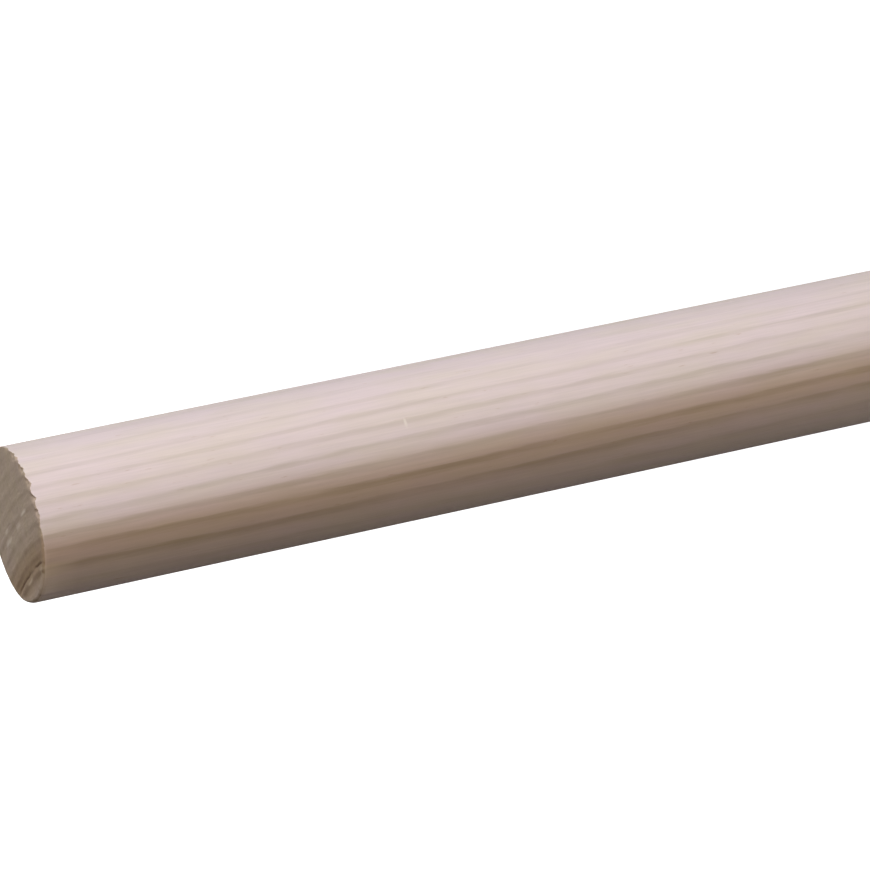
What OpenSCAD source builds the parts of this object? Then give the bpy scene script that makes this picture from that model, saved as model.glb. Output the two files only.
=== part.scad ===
// Wooden dowel rod
//
// One turned round of softwood, sawn straight across at one end and eased at
// the other. The rod stands on its eased end with its axis up Z, so the sawn
// end is the top. Everything is in millimetres.

/* [Rod] */
// Diameter of the rod
rod_d = 25; // [8:0.5:50]
// Length from the plain end to the sawn end
rod_l = 300; // [60:5:1000]

/* [Plain end] */
// Width of the small bevel that eases the edge of the plain end
plain_bevel = 0.5; // [0.1:0.1:2]

/* [Growth rings] */
// Width of one year's growth
ring_w = 2.6; // [1:0.1:6]
// Part of each ring that is hard late wood
late_share = 0.3; // [0.1:0.05:0.6]
// Distance from the heart of the tree to the rod's axis
heart_r = 70; // [40:1:200]
// Side of the rod that faces the bark, turned from +X towards +Y
bark_side = 20; // [0:5:355]

/* [Saw cut] */
// Depth to which the saw tears the soft early wood below the hard late wood
tear_depth = 0.3; // [0.05:0.05:0.8]

/* [Hidden] */

// Late wood makes the outer part of each ring, early wood the inner part.
early_w = ring_w * (1 - late_share);
// Rings needed on each side of the axis to cover the whole end
rings_each_side = ceil(rod_d / 2 / ring_w);
// How far a cutting shape runs past the face that it cuts
overcut = 1;

pale_wood = [0.86, 0.80, 0.78];

$fn = 96;

// The round stock: one profile turned about the rod's axis, with the bevel at
// its foot and a sharp edge where the saw leaves it.
module round_stock() {
    rotate_extrude()
        polygon([
            [0, 0],
            [rod_d / 2 - plain_bevel, 0],
            [rod_d / 2, plain_bevel],
            [rod_d / 2, rod_l],
            [0, rod_l]
        ]);
}

// The early wood of one ring, as the saw leaves it: deepest just outside the
// late wood of the year before, and rising to nothing at its own late wood.
// It is turned about the heart of the tree, so it crosses the end as an arc
// and nicks the edge where it runs out of the rod.
module torn_early_wood(ring_r) {
    rotate_extrude()
        polygon([
            [ring_r, -tear_depth],
            [ring_r + early_w, 0],
            [ring_r + early_w, overcut],
            [ring_r, overcut]
        ]);
}

// The sawn end: one torn hollow for each ring that crosses the rod. One ring
// line passes through the rod's axis.
module saw_cut() {
    translate([0, 0, rod_l])
        rotate([0, 0, bark_side])
            translate([-heart_r, 0, 0])
                for (year = [-rings_each_side : rings_each_side])
                    torn_early_wood(heart_r + year * ring_w);
}

module rod() {
    color(pale_wood)
        difference() {
            round_stock();
            saw_cut();
        }
}

rod();
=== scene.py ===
# %% [markdown]
# # A wooden dowel rod
# A dowel rod is one round of softwood, machined along the grain and sawn
# across. There is only one piece and nothing moves, so the whole lesson is
# about wood: a solid whose growth rings run right through it, so that the
# lines on the side and the arcs on the sawn end are the same rings.

import math

import bpy
import numpy as np
from mathutils import Matrix, Vector, noise


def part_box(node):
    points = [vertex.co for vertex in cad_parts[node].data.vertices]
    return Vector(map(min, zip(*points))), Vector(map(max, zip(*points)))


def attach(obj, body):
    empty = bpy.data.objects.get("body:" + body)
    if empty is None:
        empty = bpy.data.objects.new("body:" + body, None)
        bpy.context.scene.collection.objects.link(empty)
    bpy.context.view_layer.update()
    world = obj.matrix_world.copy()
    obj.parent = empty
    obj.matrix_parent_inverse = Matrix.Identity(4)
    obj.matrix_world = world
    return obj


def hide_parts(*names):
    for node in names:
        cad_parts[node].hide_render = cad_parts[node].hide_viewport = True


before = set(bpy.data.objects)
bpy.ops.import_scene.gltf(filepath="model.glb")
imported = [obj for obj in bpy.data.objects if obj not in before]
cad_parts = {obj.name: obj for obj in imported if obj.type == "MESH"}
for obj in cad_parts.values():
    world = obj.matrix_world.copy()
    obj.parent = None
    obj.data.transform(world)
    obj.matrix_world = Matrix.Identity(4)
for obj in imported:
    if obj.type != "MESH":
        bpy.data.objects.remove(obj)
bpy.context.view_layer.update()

MM = 0.001  # one millimetre in Blender's metres

low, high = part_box("rod")
RADIUS = (high.x - low.x) / 2 / MM
LENGTH = high.z / MM
print(f"rod: {2 * RADIUS:.1f} mm across, {LENGTH:.0f} mm long")

# %% [markdown]
# ## Looking along the rod
# The rod stands on its plain end, so Z runs up the grain. The camera looks at
# it from about 0.7 m away through a long lens, and is turned on its side, so
# that the sawn end lies at the left of the picture and the rod runs out of it
# at the right. A long lens keeps the two edges almost parallel, which is how
# a thin straight thing looks straightest.

# %% Camera
LENS = 183.3  # focal length in mm, on a sensor 36 mm wide
EYE = Vector((52.5, -662.8, LENGTH + 197.4)) * MM
AIM = Vector((0.35, 0, LENGTH - 72.2)) * MM  # a point beside the rod's axis
LEAN = math.radians(10.95)  # the rod slopes up to the right in the picture

ahead = (AIM - EYE).normalized()
right = ahead.cross(Vector((math.cos(LEAN), 0, -math.sin(LEAN)))).normalized()
up = right.cross(ahead)

camera = bpy.data.objects.new("camera", bpy.data.cameras.new("camera"))
camera.data.lens = LENS
camera.data.sensor_width = 36
camera.data.clip_start, camera.data.clip_end = 0.05, 20
camera.matrix_world = Matrix.Translation(EYE) @ Matrix(
    (right, up, -ahead)
).transposed().to_4x4()
bpy.context.collection.objects.link(camera)
bpy.context.scene.camera = camera
print(f"camera: {(AIM - EYE).length:.2f} m from the rod")

# %% [markdown]
# ## One helper for nodes, one for colours
# Every material below is a small tree of nodes. One function adds a node, sets
# what it needs, links its inputs and hands back the output that is wanted.
# Another turns a colour written as sRGB hex into the linear numbers that
# Blender works in.


# %% Helpers
def add(tree, kind, inputs=None, out=0, **settings):
    """Add a node of this kind and return its output number or name out.

    inputs maps a socket to a value, or to the output that feeds it.
    """
    made = tree.nodes.new(kind)
    for name, value in settings.items():
        setattr(made, name, value)
    for socket, value in (inputs or {}).items():
        if isinstance(value, bpy.types.NodeSocket):
            tree.links.new(value, made.inputs[socket])
        else:
            made.inputs[socket].default_value = value
    return made.outputs[out] if made.outputs else made


def colour(hex_code):
    """Linear RGBA from an sRGB hex code such as 'd8c7bf'."""
    srgb = [int(hex_code[i : i + 2], 16) / 255 for i in (0, 2, 4)]
    return [
        v / 12.92 if v <= 0.04045 else ((v + 0.055) / 1.055) ** 2.4 for v in srgb
    ] + [1.0]


# %% [markdown]
# ## Where the rod was in the tree
# Sawmills cut boards, and dowels are run from strips of board, so the heart of
# the tree is nearly always outside the rod. Here it is 70 mm away, and the
# grain runs out of the rod at about two degrees, with a slight bend in the
# inner rings as it nears the sawn end. Everything about the wood follows from
# this and from how wide the tree grew each year. The mesh and the material
# both use it, so relief and colour stay together.

# %% The tree's own coordinates
HEART_R = 70.0  # from the rod's axis to the heart of the tree, mm
BARK_SIDE = math.radians(20)  # the side towards the bark, from +X towards +Y
RUNOUT_OUT = 0.0112  # how the heart drifts down the rod, outwards, mm per mm
RUNOUT_ALONG = -0.0381  # and sideways
RING_W = 2.58  # mean width of a year's growth, mm
LEAN_YEARS = 0.3  # how far good and lean years shift a ring, mm
LEAN_RUN = 15.8  # the distance over which they come and go, mm
LEAN_START = 2.84  # and where that begins, mm
BEND = 0.9  # how far the inner rings swing out at the sawn end, mm
BEND_RUN = 60.0  # the length of rod over which they do, mm
BEND_FROM, BEND_TO = -2.0, -7.5  # which rings, by growth from the axis, mm

TOWARDS_BARK = (math.cos(BARK_SIDE), math.sin(BARK_SIDE), RUNOUT_OUT)
ALONG_RING = (-math.sin(BARK_SIDE), math.cos(BARK_SIDE), RUNOUT_ALONG)


def tree_place(x, y, z):
    """Distances from the heart: towards the bark, and along the rings, in mm."""
    height = z - LENGTH
    outwards = sum(a * b for a, b in zip(TOWARDS_BARK, (x, y, height))) + HEART_R
    along = sum(a * b for a, b in zip(ALONG_RING, (x, y, height)))
    return outwards, along


def smooth(value, start, end):
    """0 before start, 1 after end, and a smooth rise between them."""
    part = np.clip((value - start) / (end - start), 0, 1)
    return part * part * (3 - 2 * part)


def ring_age(x, y, z):
    """Years of growth at a point, counted from the ring near the axis."""
    grown = np.hypot(*tree_place(x, y, z)) - HEART_R
    near_end = smooth(LENGTH - z, BEND_RUN, 0)
    grown = grown - BEND * near_end * smooth(grown, BEND_FROM, BEND_TO)
    shift = LEAN_YEARS * np.sin(2 * math.pi * (grown + LEAN_START) / LEAN_RUN)
    return (grown - shift) / RING_W


ages = [float(ring_age(side * RADIUS, 0.0, LENGTH)) for side in (-1, 1)]
print(f"about {ages[1] - ages[0]:.0f} rings cross the sawn end")

# %% [markdown]
# ## What the saw leaves
# On a sawn end the shape is real: the saw tears the soft early wood out and
# leaves the hard late wood standing. The early wood next to a ring line is the
# weakest, so the floor drops at each line and then climbs slowly towards the
# next one. Inside the rod these terraces are very low, but at the edge, where
# nothing holds the fibres, whole chips break away and the edge gets teeth. A
# bump map could draw the terraces but not the teeth, so this is geometry.

# %% Random values that stay the same
SEED_STEP = 7.3  # apart in the noise, so that two uses of it don't match


def drift(x, y, use=0):
    """Smooth random values, about -0.5 to 0.5, one for each point given."""
    x, y = np.broadcast_arrays(x, y)
    spots = zip(x.ravel(), y.ravel())
    values = [noise.noise((a, b, use * SEED_STEP)) for a, b in spots]
    return np.array(values).reshape(x.shape)


# %% The torn end
TEAR = 0.02  # usual depth of the torn early wood, mm
STEP = 0.35  # share of a year over which the floor drops at a ring line
FIBRE = 0.008  # height of the torn fibre ends, mm
EDGE_TEAR = 0.32  # how much more breaks away where the saw came out, mm
EDGE_W = 1.6  # width of that broken edge, mm
CHIPPED = 0.9  # usual depth of the chips there, times EDGE_TEAR,
DEEPEST = 1.5  # and the most
CHIPS = ((1.2, 1.3), (0.6, 1.1))  # their sizes, mm, and how much each adds or takes
LATE_CHIPPED = 0.3  # share of the chips' depth that hard late wood loses too
SAW_OUT = (58, 60)  # where the saw came out, in degrees from +X towards -Y,
RUBBED_AT = (142, 60)  # where the edge is rubbed round, and how far each reaches


def near(x, y, degrees, reach):
    """1 in one direction from the axis, 0 beyond reach degrees either side."""
    away = np.degrees(np.arctan2(-y, x)) - degrees
    return smooth(np.abs(np.mod(away + 180, 360) - 180), reach, reach / 2)


def torn(x, y):
    """How far below the saw cut the sawn end lies at (x, y), in mm."""
    outwards, along = tree_place(x, y, LENGTH)
    age = ring_age(x, y, LENGTH)
    year = np.floor(age)
    part = age - year
    edge = np.clip((np.hypot(x, y) - RADIUS) / EDGE_W + 1, 0, 1)
    soft = np.clip(np.minimum((1 - part) / (1 - STEP), part / STEP), 0, 1)
    # Each year's terrace is torn deeper in some places than in others.
    uneven = 1 + 1.1 * drift(along / 4, year * 1.7, 1) + 0.5 * drift(along, year, 2)
    chipped = CHIPPED
    for use, (size, change) in enumerate(CHIPS, 3):
        chipped = chipped + change * drift(along / size, outwards / size, use)
    broken = EDGE_TEAR * edge**2 * np.clip(chipped, 0, DEEPEST)
    broken *= near(x, y, *SAW_OUT) * (1 - near(x, y, *RUBBED_AT))
    depth = soft * TEAR * uneven + (LATE_CHIPPED + soft) * broken
    # Fibre ends lie in short rows along the rings, with single ones between.
    ends = drift(along / 1.6, outwards / 0.35, 5) + 0.5 * drift(x / 0.4, y / 0.4, 6)
    depth += FIBRE * (0.5 + soft) * (1 + 2 * ends)
    return np.clip(depth, 0, 1.0)


# %% [markdown]
# ## Splits and loose fibres
# Two kinds of flaw are too large for the noise above. Beside the hardest
# rings the wood has split along the ring, and here and there a tuft of fibres
# has been pulled up. Both are listed as soft-edged strokes that follow a
# ring: where they are on the end, how long, how wide and how deep.

# %% Flaws
SPLITS = [  # x, y, length, width, depth, all in mm
    (-9.05, 0.1, 9.6, 0.4, 0.1),
    (-6.1, -8.3, 4.4, 0.4, 0.1),
]
TUFTS = [  # x, y, length, width, height
    (2.1, -5.4, 3.0, 0.5, 0.05),
    (-0.2, -1.6, 2.4, 0.7, 0.03),
    (-2.9, 4.8, 3.6, 0.8, 0.04),
    (-1.3, 5.2, 2.0, 0.6, 0.03),
    (-9.0, -2.5, 3.0, 0.5, 0.05),
    (-6.6, -9.4, 2.2, 0.5, 0.03),
]


def strokes(x, y, listed):
    """Total of the listed strokes at (x, y), each by its last number."""
    outwards, along = tree_place(x, y, LENGTH)
    reach, round_heart = np.hypot(outwards, along), np.arctan2(along, outwards)
    total = np.zeros(np.shape(x))
    # A stroke wanders a little off its ring, and fades out at its ends.
    for fx, fy, length, width, strength in listed:
        at_out, at_along = tree_place(fx, fy, LENGTH)
        at_reach = math.hypot(at_out, at_along)
        off = (reach - at_reach + 0.3 * drift(along / 2.5, fx, 7)) / (width / 2)
        down = (round_heart - math.atan2(at_along, at_out)) * at_reach / (length / 2)
        total += strength * np.exp(-(off**2) - down**4)
    return total


# %% [markdown]
# ## The edge of the sawn end
# The edge is not sharp. It is a little round all the way, and on the shaded
# side, past the teeth, it has been rubbed so round that the end runs over
# into the side without a line.

# %% Rounded edge
ROUND = 0.12  # radius all the way round, mm
RUBBED = 0.6  # and how much more at its most rubbed


def sawn_height(x, y):
    """Height of the sawn end at (x, y), in mm from the plain end."""
    radius = ROUND + RUBBED * near(x, y, *RUBBED_AT)
    over = np.clip((np.hypot(x, y) - RADIUS) / radius + 1, 0, 1)
    rounded = radius * (1 - np.sqrt(1 - over**2))
    raised = strokes(x, y, TUFTS) - strokes(x, y, SPLITS)
    return LENGTH - np.clip(torn(x, y) - raised, 0, 1) - rounded


# %% [markdown]
# ## The rod as a mesh
# The mesh is one closed net, turned about the axis. Its rows start at the
# middle of the sawn end, lie closer together near its edge, cross the edge
# and run down the side, and close on the plain end. Under the torn edge the
# first rows follow the teeth and then level out, so that no face is pinched.

# %% Rows of the net
AROUND = 480  # points round the rod, one every 0.16 mm
FACE_STEP = 0.18  # between rows on the sawn end, mm
EDGE_STEPS = 8  # closer rows, which take the place of the last few
SIDE_STEPS = 46  # rows down the side
LEVEL = 3.0  # depth at which the rows are level again, mm
EASE = 0.5  # bevel that eases the plain end, mm
SHARP = 35  # degrees between two faces from which their edge is drawn sharp

turn = np.linspace(0, 2 * math.pi, AROUND, endpoint=False)
circle_x, circle_y = np.cos(turn), np.sin(turn)
steps = int(RADIUS / FACE_STEP)
inner = np.linspace(0, RADIUS, steps + 1)[1:-4]
curl = np.linspace(0, math.pi / 2, EDGE_STEPS + 1)[1:]  # closer towards the edge
outer = inner[-1] + (RADIUS - inner[-1]) * np.sin(curl)

rows = []
for r in (*inner, *outer):
    rows.append((r, sawn_height(r * circle_x, r * circle_y)))
sawn_rows = len(rows)
rim = rows[-1][1]
for down in (0.05, 0.12, 0.22, 0.36, 0.55, 0.77, 1):
    rows.append((RADIUS, rim + down * (LENGTH - LEVEL - rim)))
for z in np.linspace(LENGTH - 2 * LEVEL, EASE, SIDE_STEPS):
    rows.append((RADIUS, z))
side_rows = len(rows)
for r, z in ((RADIUS - EASE, 0), (0.8 * RADIUS, 0), (0.4 * RADIUS, 0)):
    rows.append((r, z))
print(f"rim: {LENGTH - rim.max():.2f} to {LENGTH - rim.min():.2f} mm below the saw cut")

# %% Points and faces
points = [(0.0, 0.0, float(sawn_height(0.0, 0.0)))]
for r, z in rows:
    z = np.broadcast_to(z, turn.shape)
    points += list(zip(r * circle_x, r * circle_y, z))
points.append((0.0, 0.0, 0.0))

faces = [(0, 1 + i, 1 + (i + 1) % AROUND) for i in range(AROUND)]
for row in range(len(rows) - 1):
    a, b = 1 + row * AROUND, 1 + (row + 1) * AROUND
    for i in range(AROUND):
        j = (i + 1) % AROUND
        faces.append((a + i, b + i, b + j, a + j))
last, end = 1 + (len(rows) - 1) * AROUND, len(points) - 1
faces += [(end, last + (i + 1) % AROUND, last + i) for i in range(AROUND)]

mesh = bpy.data.meshes.new("dowel_rod")
mesh.from_pydata([Vector(p) * MM for p in points], [], faces)
rod = bpy.data.objects.new("dowel_rod", mesh)
bpy.context.collection.objects.link(rod)
mesh.shade_smooth()
mesh.set_sharp_from_angle(angle=math.radians(SHARP))
print(f"net: {len(points)} points, {len(faces)} faces")

# %% [markdown]
# ## Telling the material where the flaws and the painted light are
# Colour has to follow the flaws: a split looks dark and a tuft pale. On both
# sides of the rubbed, rounded edge the colour is made paler too, which is
# painted light for the light that the rounded edge catches. The mesh carries
# a share from 0 to 1 at each of its points for each of them, and the
# materials mix in a colour by it.

# %% Flaws and painted light for the material
PAINTED_LIGHT_AT = (158, 60)  # where light is painted on the rubbed edge, and how far round
PAINTED_LIGHT_IN, PAINTED_LIGHT_DOWN = 1.3, 6.0  # how far in from the edge and down, mm

x, y, z = np.array(points).T
sawn_points = 1 + sawn_rows * AROUND
rim_near = smooth(np.hypot(x, y), RADIUS - PAINTED_LIGHT_IN, RADIUS)
rim_near *= smooth(LENGTH - z, PAINTED_LIGHT_DOWN, 0)
patchy = np.clip(1 + 1.8 * drift(x / 0.8, y / 0.8, 8), 0, 1)
flaws_and_painted_light = {
    "tuft": strokes(x[:sawn_points], y[:sawn_points], TUFTS),
    "split": strokes(x[:sawn_points], y[:sawn_points], SPLITS),
    # The third share is painted light: a paler colour on the rubbed edge.
    "painted_light": near(x, y, *PAINTED_LIGHT_AT) * rim_near * patchy,
}
for name, size in flaws_and_painted_light.items():
    attribute = mesh.attributes.new(name, "FLOAT", "POINT")
    for item, share in zip(attribute.data, size / size.max()):
        item.value = share
    print(f"{name}: on {np.count_nonzero(size > size.max() / 2)} points")

# %% [markdown]
# ## Unwrapping
# The materials need no map, because they are worked out from the place in the
# solid. A map is made all the same, for anyone who bakes them: the side is
# cut along one line and rolled out flat, and the two ends lie above it as
# discs. The layout follows from the rows, so it is written in a few lines.

# %% Map
SIDE_SHARE = 0.75  # of the map's height, for the side
DISC_R = 0.115  # radius of an end, in the map
SAWN_AT, PLAIN_AT = (0.13, 0.875), (0.38, 0.875)


def disc_spot(point, middle):
    """Where a point of an end lies in the map."""
    return [m + DISC_R * p / RADIUS for m, p in zip(middle, point)]


def map_face(index, corners):
    """Where a face's corners lie in the map."""
    row, i = divmod(index - AROUND, AROUND)
    if row + 1 < sawn_rows:
        return [disc_spot(points[c], SAWN_AT) for c in corners]
    if row + 1 > side_rows:
        return [disc_spot(points[c], PLAIN_AT) for c in corners]
    spots = []
    for c, step in zip(corners, (0, 0, 1, 1)):
        spots.append((1 - points[c][2] / LENGTH, SIDE_SHARE * (i + step) / AROUND))
    return spots


uv = mesh.uv_layers.new(name="OFBake")
for face in mesh.polygons:
    spots = map_face(face.index, list(face.vertices))
    for loop, spot in zip(face.loop_indices, spots):
        uv.data[loop].uv = spot
print(f"map: {len(uv.data)} corners")

# %% End grain and long grain
END_GRAIN = 0.5  # a face is end grain if this much of it looks along the fibres

for face in mesh.polygons:
    face.material_index = int(abs(face.normal.z) > END_GRAIN)
print(f"end grain: {sum(f.material_index for f in mesh.polygons)} faces")

# %% The rod takes its place
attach(rod, "root")
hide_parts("rod")

# %% [markdown]
# ## Rings in a material
# A wood texture is often drawn as stripes on the surface. Here it is a solid
# pattern: the nodes work out how far each point is from the heart of the
# tree, just as the mesh did, and the rings follow. A slow noise makes them
# waver, as a tree does, but it dies away towards the sawn end, where the
# colour has to stay on the relief.

# %% The rings as nodes
WAVER = 1.5  # mm, times a noise that mostly stays within a quarter of 0.5
WAVER_ACROSS, WAVER_ALONG = 14.0, 60.0  # size of that noise, mm
STILL = 30.0  # distance from the sawn end within which the rings keep still, mm


def stretched(tree, place, across, along):
    """The place divided by a pattern's size across and along the grain, in mm."""
    sizes = (1 / across, 1 / across, 1 / along)
    return add(
        tree, "ShaderNodeVectorMath", {0: place, 1: sizes}, operation="MULTIPLY"
    )


def waver(tree, place):
    """How far a ring strays from its true circle, in mm."""
    where = stretched(tree, place, WAVER_ACROSS, WAVER_ALONG)
    slow = add(tree, "ShaderNodeTexNoise", {"Vector": where, "Scale": 1, "Detail": 1})
    height = add(tree, "ShaderNodeSeparateXYZ", {0: place}, out=2)
    reach = {"Value": height, "From Min": LENGTH, "From Max": LENGTH - STILL}
    reach |= {"To Min": 0, "To Max": WAVER}
    reach = add(tree, "ShaderNodeMapRange", reach, interpolation_type="SMOOTHSTEP")
    centred = add(tree, "ShaderNodeMath", {0: slow, 1: 0.5}, operation="SUBTRACT")
    return add(tree, "ShaderNodeMath", {0: centred, 1: reach}, operation="MULTIPLY")


def growth(tree):
    """Sockets: place in mm, place in the tree, radius grown in mm, years."""
    here = add(tree, "ShaderNodeTexCoord", out="Object")
    scale = {0: here, "Scale": 1 / MM}
    place = add(tree, "ShaderNodeVectorMath", scale, operation="SCALE")
    in_tree = []
    for way, start in ((TOWARDS_BARK, HEART_R), (ALONG_RING, 0.0)):
        far = add(
            tree,
            "ShaderNodeVectorMath",
            {0: place, 1: way},
            out="Value",
            operation="DOT_PRODUCT",
        )
        start -= way[2] * LENGTH
        in_tree.append(add(tree, "ShaderNodeMath", {0: far, 1: start}))
    tree_xy = add(tree, "ShaderNodeCombineXYZ", {0: in_tree[0], 1: in_tree[1]})
    reach = add(
        tree, "ShaderNodeVectorMath", {0: tree_xy}, out="Value", operation="LENGTH"
    )
    true = add(tree, "ShaderNodeMath", {0: reach, 1: HEART_R}, operation="SUBTRACT")
    grown = add(tree, "ShaderNodeMath", {0: true, 1: waver(tree, place)})
    height = add(tree, "ShaderNodeSeparateXYZ", {0: place}, out=2)
    bend = {"Value": height, "From Min": LENGTH - BEND_RUN, "From Max": LENGTH}
    bend |= {"To Max": -BEND}
    bend = add(tree, "ShaderNodeMapRange", bend, interpolation_type="SMOOTHSTEP")
    inner = {"Value": grown, "From Min": BEND_FROM, "From Max": BEND_TO}
    inner = add(tree, "ShaderNodeMapRange", inner, interpolation_type="SMOOTHSTEP")
    bent = {0: bend, 1: inner, 2: grown}
    grown = add(tree, "ShaderNodeMath", bent, operation="MULTIPLY_ADD")
    pace = 2 * math.pi / LEAN_RUN
    phase = {0: grown, 1: pace, 2: pace * LEAN_START}
    phase = add(tree, "ShaderNodeMath", phase, operation="MULTIPLY_ADD")
    wave = add(tree, "ShaderNodeMath", {0: phase}, operation="SINE")
    even = {0: wave, 1: -LEAN_YEARS, 2: grown}
    even = add(tree, "ShaderNodeMath", even, operation="MULTIPLY_ADD")
    years = add(tree, "ShaderNodeMath", {0: even, 1: RING_W}, operation="DIVIDE")
    return place, tree_xy, grown, years


# %% [markdown]
# ## Late wood
# Within a year the wood darkens slowly as summer ends and turns pale again at
# once in the next spring, so each line is soft on the side of the heart and
# sharp on the side of the bark. The years near the heart grew hard dark late
# wood, apart from the innermost, and the outer ones hardly any. A fine noise
# that runs along the grain shifts the years a little, which frays each line
# into fibres.

# %% Late wood as nodes
LATE_FULL = 0.97  # part of a year at which late wood is darkest
HARD_FROM, HARD_TO = 3.0, -4.2  # years over which the late wood turns hard
WEAK, STRONG = 0.17, 1.0  # how dark a line is in a soft year and in a hard one
THIN, BROAD = 0.76, 0.5  # part of such years at which late wood begins
FADE_FROM, FADE_TO = -4.5, -5.1  # years over which the innermost line fades again
FADED = 0.3  # share of its darkness that it keeps
FRAYED = 0.3  # years, times a noise that mostly stays within a quarter of 0.5
FRAYED_ACROSS, FRAYED_ALONG = 0.35, 7.0  # size of that noise, mm
BROKEN_ACROSS, BROKEN_ALONG = 4.0, 36.0  # size of the stronger stretches, mm


def late_wood(tree, place, years, spring):
    """0 in early wood, up to 1 at a ring line, which ends over spring years."""
    where = stretched(tree, place, FRAYED_ACROSS, FRAYED_ALONG)
    fray = add(tree, "ShaderNodeTexNoise", {"Vector": where, "Scale": 1, "Detail": 2})
    fray = {0: fray, 1: FRAYED, 2: -FRAYED / 2}
    fray = add(tree, "ShaderNodeMath", fray, operation="MULTIPLY_ADD")
    frayed = add(tree, "ShaderNodeMath", {0: years, 1: fray})
    part = add(tree, "ShaderNodeMath", {0: frayed}, operation="FRACT")
    hard = {"Value": years, "From Min": HARD_FROM, "From Max": HARD_TO}
    hard = add(tree, "ShaderNodeMapRange", hard)
    begin = {"Value": hard, "To Min": THIN, "To Max": BROAD}
    begin = add(tree, "ShaderNodeMapRange", begin)
    rise = {"Value": part, "From Min": begin, "From Max": LATE_FULL}
    rise = add(tree, "ShaderNodeMapRange", rise, interpolation_type="SMOOTHSTEP")
    fall = {"Value": part, "From Min": spring, "From Max": 0}
    fall = add(tree, "ShaderNodeMapRange", fall, interpolation_type="SMOOTHSTEP")
    line = add(tree, "ShaderNodeMath", {0: rise, 1: fall}, operation="MAXIMUM")
    dark = {"Value": hard, "To Min": WEAK, "To Max": STRONG}
    dark = add(tree, "ShaderNodeMapRange", dark)
    faded = {"Value": years, "From Min": FADE_FROM, "From Max": FADE_TO}
    faded |= {"To Min": 1, "To Max": FADED}
    faded = add(tree, "ShaderNodeMapRange", faded)
    dark = add(tree, "ShaderNodeMath", {0: dark, 1: faded}, operation="MULTIPLY")
    where = stretched(tree, place, BROKEN_ACROSS, BROKEN_ALONG)
    broken = {"Vector": where, "Scale": 1, "Detail": 4}
    broken = add(tree, "ShaderNodeTexNoise", broken)
    kept = {"Value": broken, "From Min": 0.35, "From Max": 0.65}
    kept |= {"To Min": 0.45, "To Max": 1.2}
    kept = add(tree, "ShaderNodeMapRange", kept)
    line = add(tree, "ShaderNodeMath", {0: line, 1: dark}, operation="MULTIPLY")
    return add(tree, "ShaderNodeMath", {0: line, 1: kept}, operation="MULTIPLY")


# %% [markdown]
# ## The machined side
# The side is raw softwood that a dowel machine has cut along the grain. It
# has no finish on it, so it is matt: light goes into the cells and comes back
# soft. Its fibres are 0.03 mm wide, far too fine to show, so they are drawn
# ten times as coarse, as faint streaks along the grain. Softwood also has
# resin canals, which show on the side as short dark dashes.

# %% Side
EARLY_COLOUR = "dacbc9"  # early wood, pale with a touch of pink
LATE_COLOUR = "beb0a5"  # late wood, duller and more yellow
SIDE_SPRING = 0.2  # part of a year in which a line ends, in clean-cut wood
BROWN_AND_SHADE_TINT = "e0d4c3"  # one band of years is browner than the rest: partly the wood's own tone, partly painted shade on the side away from the key lamp
TINT_AT, TINT_W = -8.5, 6.3  # middle and half width of that brown band, mm
FIBRE_ACROSS, FIBRE_ALONG = 0.32, 9.0  # drawn size of a bundle of fibres, mm
SIDE_STREAK = 0.035  # how much lighter or darker such a bundle is
SCUFF, SCUFF_DOWN = "dfd4ce", 62.8  # one pale scuff, and mm from the sawn end
SCUFF_XY, SCUFF_R = (4.1, -11.8), (0.9, 0.9, 0.28)  # its middle and size, mm
BLOTCH_ACROSS, BLOTCH_ALONG = 3.0, 14.0  # size of the faint blotches, mm
PINK, STRAW = "fffcfe", "fdfcf6"  # and their tints, barely off white
CANAL_ACROSS, CANAL_ALONG = 0.45, 3.0  # size of the noise for resin canals, mm
CANAL = "efe6dd"  # and their tint
PAINTED_LIGHT = "e8dad2"  # painted light on the rubbed edge, a paler colour where its rounding should catch the lamps


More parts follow.
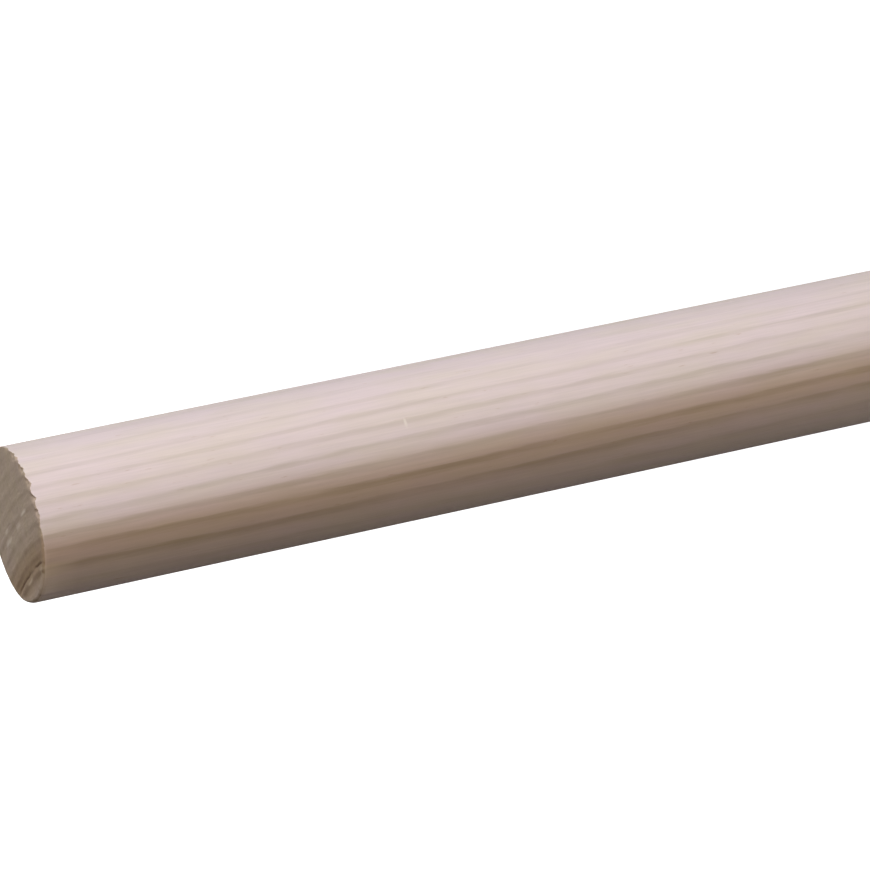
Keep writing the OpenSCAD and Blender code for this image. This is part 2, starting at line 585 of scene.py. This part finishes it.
def tone(tree, base, place, grown, fibre_strength):
    """The base colour with the brown band of wood and painted shade, blotches, streaks
    and canals.
    """
    # The brown band lies on the side away from the key lamp; part of its darkening is
    # painted shade.
    off = add(tree, "ShaderNodeMath", {0: grown, 1: TINT_AT}, operation="SUBTRACT")
    off = add(tree, "ShaderNodeMath", {0: off}, operation="ABSOLUTE")
    band = {"Value": off, "From Min": TINT_W, "From Max": 0}
    band = add(tree, "ShaderNodeMapRange", band, interpolation_type="SMOOTHSTEP")
    tinted = {0: band, 6: base, 7: colour(BROWN_AND_SHADE_TINT)}
    tinted = add(
        tree, "ShaderNodeMix", tinted, out=2, data_type="RGBA", blend_type="MULTIPLY"
    )
    where = stretched(tree, place, BLOTCH_ACROSS, BLOTCH_ALONG)
    patchy = add(tree, "ShaderNodeTexNoise", {"Vector": where, "Scale": 1})
    patchy = {"Value": patchy, "From Min": 0.35, "From Max": 0.65}
    patchy = add(tree, "ShaderNodeMapRange", patchy)
    blotch = {0: patchy, 6: colour(PINK), 7: colour(STRAW)}
    blotch = add(tree, "ShaderNodeMix", blotch, out=2, data_type="RGBA")
    where = stretched(tree, place, FIBRE_ACROSS, FIBRE_ALONG)
    streak = add(tree, "ShaderNodeTexNoise", {"Vector": where, "Scale": 1, "Detail": 3})
    streak = {"Value": streak, "From Min": 0.3, "From Max": 0.7}
    streak |= {"To Min": 1 - fibre_strength, "To Max": 1 + fibre_strength}
    streak = add(tree, "ShaderNodeMapRange", streak)
    where = stretched(tree, place, CANAL_ACROSS, CANAL_ALONG)
    canal = add(tree, "ShaderNodeTexNoise", {"Vector": where, "Scale": 1})
    canal = {"Value": canal, "From Min": 0.7, "From Max": 0.8}
    canal = add(tree, "ShaderNodeMapRange", canal)
    canal = {0: canal, 6: colour("ffffff"), 7: colour(CANAL)}
    canal = add(tree, "ShaderNodeMix", canal, out=2, data_type="RGBA")
    for over in (blotch, streak, canal):
        both = {0: 1.0, 6: tinted, 7: over}
        tinted = add(
            tree, "ShaderNodeMix", both, out=2, data_type="RGBA", blend_type="MULTIPLY"
        )
    return tinted


side_wood = bpy.data.materials.new("machined_softwood")
side_wood.use_nodes = True
tree = side_wood.node_tree
tree.nodes.clear()
place, tree_xy, grown, years = growth(tree)
late = late_wood(tree, place, years, SIDE_SPRING)
base = {0: late, 6: colour(EARLY_COLOUR), 7: colour(LATE_COLOUR)}
base = add(tree, "ShaderNodeMix", base, out=2, data_type="RGBA")
matt = {"Value": late, "To Min": 0.78, "To Max": 0.68}
# A scuff that reaches SCUFF_R[0] each way across the grain, and less along it.
off = {0: place, 1: (*SCUFF_XY, LENGTH - SCUFF_DOWN)}
off = add(tree, "ShaderNodeVectorMath", off, operation="SUBTRACT")
off = {0: off, 1: tuple(1 / r for r in SCUFF_R)}
off = add(tree, "ShaderNodeVectorMath", off, operation="MULTIPLY")
off = add(tree, "ShaderNodeVectorMath", {0: off}, out="Value", operation="LENGTH")
scuff = {"Value": off, "From Min": 1.2, "From Max": 0.4}
scuff = {0: add(tree, "ShaderNodeMapRange", scuff), 6: base, 7: colour(SCUFF)}
base = add(tree, "ShaderNodeMix", scuff, out=2, data_type="RGBA")
# Painted light: the rubbed edge is made paler where its rounding should catch the
# lamps.
share = add(tree, "ShaderNodeAttribute", out="Fac", attribute_name="painted_light")
both = {0: share, 6: base, 7: colour(PAINTED_LIGHT)}
base = add(tree, "ShaderNodeMix", both, out=2, data_type="RGBA")
shader = {
    "Base Color": tone(tree, base, place, grown, SIDE_STREAK),
    "Roughness": add(tree, "ShaderNodeMapRange", matt),
    "Specular IOR Level": 0.015,
}
add(
    tree,
    "ShaderNodeOutputMaterial",
    {0: add(tree, "ShaderNodeBsdfPrincipled", shader)},
)
mesh.materials.append(side_wood)

# %% [markdown]
# ## The sawn end
# End grain is the same wood seen along its cells, and the open cells swallow
# light, so it is darker and browner than the side. The rings are darker
# still, fine rays run out across them, and fibres that the saw has torn loose
# stand up pale.

# %% End grain
END_EARLY, END_LATE = "baa796", "948170"
END_SPRING = 0.3  # part of a year in which a line ends, in torn wood
TUFT, SPLIT = "dccdbf", "6b5745"  # loose fibres, and the dust and shade in a split
END_PAINTED_LIGHT = "d4c4b6"  # painted light where the rubbed edge bends over onto the end
RAY_ACROSS, RAY_ALONG = 0.35, 3.5  # drawn size of a ray, mm
PATCH_ALONG, PATCH_ACROSS = 5.0, 1.6  # size of duller patches along a ring, mm
RAY_CHANGE, PATCH_CHANGE = 0.05, 0.06  # how much lighter or darker they are
END_STREAK = 0.05  # and the fibres

end_wood = bpy.data.materials.new("sawn_end_grain")
end_wood.use_nodes = True
tree = end_wood.node_tree
tree.nodes.clear()
place, tree_xy, grown, years = growth(tree)
late = late_wood(tree, place, years, END_SPRING)
base = {0: late, 6: colour(END_EARLY), 7: colour(END_LATE)}
base = add(tree, "ShaderNodeMix", base, out=2, data_type="RGBA")
for out_size, along_size, change in (
    (RAY_ALONG, RAY_ACROSS, RAY_CHANGE),
    (PATCH_ACROSS, PATCH_ALONG, PATCH_CHANGE),
):
    where = {0: tree_xy, 1: (1 / out_size, 1 / along_size, 1)}
    where = add(tree, "ShaderNodeVectorMath", where, operation="MULTIPLY")
    shade = add(tree, "ShaderNodeTexNoise", {"Vector": where, "Scale": 1, "Detail": 2})
    shade = {"Value": shade, "From Min": 0.3, "From Max": 0.7}
    shade |= {"To Min": 1 - change, "To Max": 1 + change}
    shade = add(tree, "ShaderNodeMapRange", shade)
    both = {0: 1.0, 6: base, 7: shade}
    base = add(
        tree, "ShaderNodeMix", both, out=2, data_type="RGBA", blend_type="MULTIPLY"
    )
# First the painted light on the rubbed edge, then the tufts and the splits.
for name, hex_code in (("painted_light", END_PAINTED_LIGHT), ("tuft", TUFT), ("split", SPLIT)):
    share = add(tree, "ShaderNodeAttribute", out="Fac", attribute_name=name)
    both = {0: share, 6: base, 7: colour(hex_code)}
    base = add(tree, "ShaderNodeMix", both, out=2, data_type="RGBA")
shader = {
    "Base Color": tone(tree, base, place, grown, END_STREAK),
    "Roughness": 0.85,
    "Specular IOR Level": 0.15,
}
add(
    tree,
    "ShaderNodeOutputMaterial",
    {0: add(tree, "ShaderNodeBsdfPrincipled", shader)},
)
mesh.materials.append(end_wood)
print(f"materials: {', '.join(m.name for m in mesh.materials)}")

# %% [markdown]
# ## White paper and soft lamps
# The rod stands on a sheet of white paper in a white room. The paper and the
# room look white to the camera, and to anything that mirrors them, through
# the Light Path node, so no extra light is poured on the rod to bleach the
# background. Near the rod the paper glows a little less than white by itself
# and the lamps do the rest, which leaves it dark enough to show a shadow. A
# cool key lamp and a weaker warm one light the near side, and a third behind
# keeps the back from going black.


# %% Floor
bpy.context.scene.view_settings.view_transform = "Standard"


def seen_directly(tree):
    """1 for rays that come from the camera or off a shiny or clear surface."""
    ray = add(tree, "ShaderNodeLightPath", out="Is Camera Ray").node.outputs
    seen = {0: ray["Is Camera Ray"], 1: ray["Is Glossy Ray"]}
    seen = add(tree, "ShaderNodeMath", seen, operation="MAXIMUM")
    seen = {0: seen, 1: ray["Is Transmission Ray"]}
    return add(tree, "ShaderNodeMath", seen, operation="MAXIMUM")


FLOOR_HALF = 8.0  # metres, so that its edge is never in view
PAPER = "c8c8c8"  # what the paper gives back of the lamps' light
NEAR, NEAR_GLOW = 0.05, 0.7  # metres from the rod's axis, and glow there
FAR, FAR_GLOW = 0.33, 1.0

corners = [(-1, -1), (1, -1), (1, 1), (-1, 1)]
floor_mesh = bpy.data.meshes.new("floor")
floor_mesh.from_pydata(
    [(FLOOR_HALF * x, FLOOR_HALF * y, 0) for x, y in corners], [], [(0, 1, 2, 3)]
)
floor = bpy.data.objects.new("floor", floor_mesh)
bpy.context.collection.objects.link(floor)

paper = bpy.data.materials.new("white_paper")
paper.use_nodes = True
tree = paper.node_tree
tree.nodes.clear()
spot = add(tree, "ShaderNodeTexCoord", out="Object")
far = add(tree, "ShaderNodeVectorMath", {0: spot}, out="Value", operation="LENGTH")
glow = {"Value": far, "From Min": NEAR, "From Max": FAR}
glow |= {"To Min": NEAR_GLOW, "To Max": FAR_GLOW}
glow = {0: seen_directly(tree), 1: add(tree, "ShaderNodeMapRange", glow)}
glow = add(tree, "ShaderNodeMath", glow, operation="MULTIPLY")
glow = add(tree, "ShaderNodeEmission", {"Color": colour("ffffff"), "Strength": glow})
matt = add(tree, "ShaderNodeBsdfDiffuse", {"Color": colour(PAPER)})
both = add(tree, "ShaderNodeAddShader", {0: matt, 1: glow})
add(tree, "ShaderNodeOutputMaterial", {"Surface": both})
floor_mesh.materials.append(paper)

# %% Room
AMBIENT = 0.005  # light from the room itself, of white

world = bpy.data.worlds.new("white_room")
world.use_nodes = True
bpy.context.scene.world = world
tree = world.node_tree
tree.nodes.clear()
dim = {"Color": colour("ffffff"), "Strength": AMBIENT}
dim = add(tree, "ShaderNodeBackground", dim)
white = {"Color": colour("ffffff"), "Strength": 1.0}
white = add(tree, "ShaderNodeBackground", white)
mixed = add(tree, "ShaderNodeMixShader", {0: seen_directly(tree), 1: dim, 2: white})
add(tree, "ShaderNodeOutputWorld", {"Surface": mixed})


# %% Lamps
LAMP_SIZE = 0.7  # side of each square lamp, metres
LAMP_FAR = 1.4  # from the rod, metres
LAMP_AIM = 75  # how far below the sawn end they point, mm


def lamp(name, round_deg, rise_deg, watts, hex_code):
    """A soft lamp, round_deg about the rod from +X towards the camera's side."""
    a, rise = math.radians(round_deg), math.radians(rise_deg)
    level = Vector((math.cos(a), -math.sin(a), 0))
    way = level * math.cos(rise) + Vector((0, 0, math.sin(rise)))
    light = bpy.data.lights.new(name, "AREA")
    light.size = LAMP_SIZE
    light.energy = watts
    light.color = colour(hex_code)[:3]
    made = bpy.data.objects.new(name, light)
    made.location = Vector((0, 0, (LENGTH - LAMP_AIM) * MM)) + way * LAMP_FAR
    made.rotation_mode = "QUATERNION"
    made.rotation_quaternion = (-way).to_track_quat("-Z", "Y")
    made.visible_camera = False
    bpy.context.collection.objects.link(made)


lamp("key", 34, 26, 17.6, "f5faff")
lamp("fill", 87, 26, 5.4, "ffeed5")
lamp("back", 275, 3, 7.0, "ffffff")
